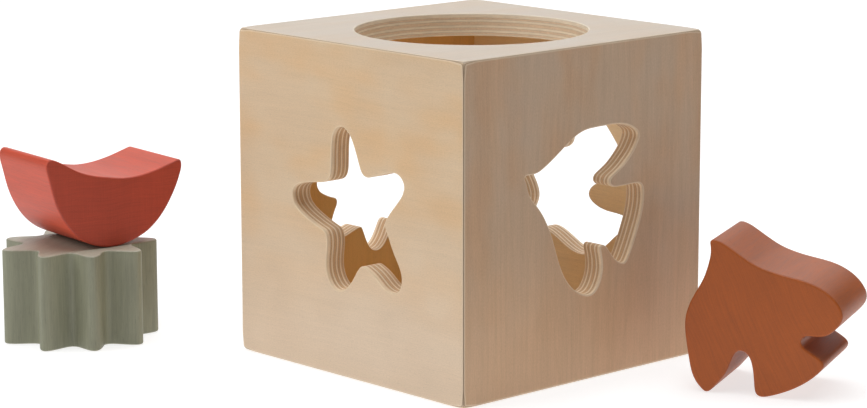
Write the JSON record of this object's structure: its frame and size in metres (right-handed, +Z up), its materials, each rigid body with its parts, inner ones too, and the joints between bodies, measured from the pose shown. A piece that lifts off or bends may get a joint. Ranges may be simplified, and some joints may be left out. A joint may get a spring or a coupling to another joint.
{
  "type": "shape sorter",
  "caption": "Cubic plywood shape-sorting box with a round top opening, a shaped cut-out in each other face, and painted wooden blocks that fit the cut-outs.",
  "frame": {"origin": "middle of the laid-out set's footprint, on the surface it stands on; the cube's centre line is at x = 2.24 mm, y = -2.40 mm", "axes": "+Z up, +X the outward normal of the panel with the fish cut-out, -Y the outward normal of the panel with the star cut-out"},
  "size_m": [0.3408, 0.2838, 0.141],
  "materials": {
    "plywood": "birch plywood, clear matt lacquer, open layered edges",
    "paint_sage": "satin grey-green paint, wood grain showing through",
    "paint_red": "satin dusty red paint, wood grain showing through",
    "paint_rust": "satin rust brown paint, wood grain showing through",
    "paint_sand": "satin ochre paint, wood grain showing through",
    "paint_blue": "satin grey-blue paint, wood grain showing through"
  },
  "bodies": {
    "cube": {"front_panel_star": "plywood", "right_panel_fish": "plywood", "back_panel_bird": "plywood", "left_panel_flower": "plywood", "top_panel_round_opening": "plywood", "bottom_panel_moon": "plywood"},
    "flower": {"block_flower": "paint_sage"},
    "moon": {"block_moon": "paint_red"},
    "fish": {"block_fish": "paint_rust"},
    "star": {"block_star": "paint_sand"},
    "bird": {"block_bird": "paint_blue"}
  },
  "joints": [
    {"name": "lift_star", "type": "slide", "parent": "cube", "child": "star", "axis": [0, 0, 1], "range_m": [0, 0.16]},
    {"name": "lift_flower", "type": "slide", "parent": "cube", "child": "flower", "axis": [0, 0, 1], "range_m": [0, 0.1]},
    {"name": "lift_moon", "type": "slide", "parent": "flower", "child": "moon", "axis": [0, 0, 1], "range_m": [0, 0.1]},
    {"name": "lift_fish", "type": "slide", "parent": "cube", "child": "fish", "axis": [0, 0, 1], "range_m": [0, 0.1]},
    {"name": "lift_bird", "type": "slide", "parent": "cube", "child": "bird", "axis": [0, 0, 1], "range_m": [0, 0.1]}
  ]
}
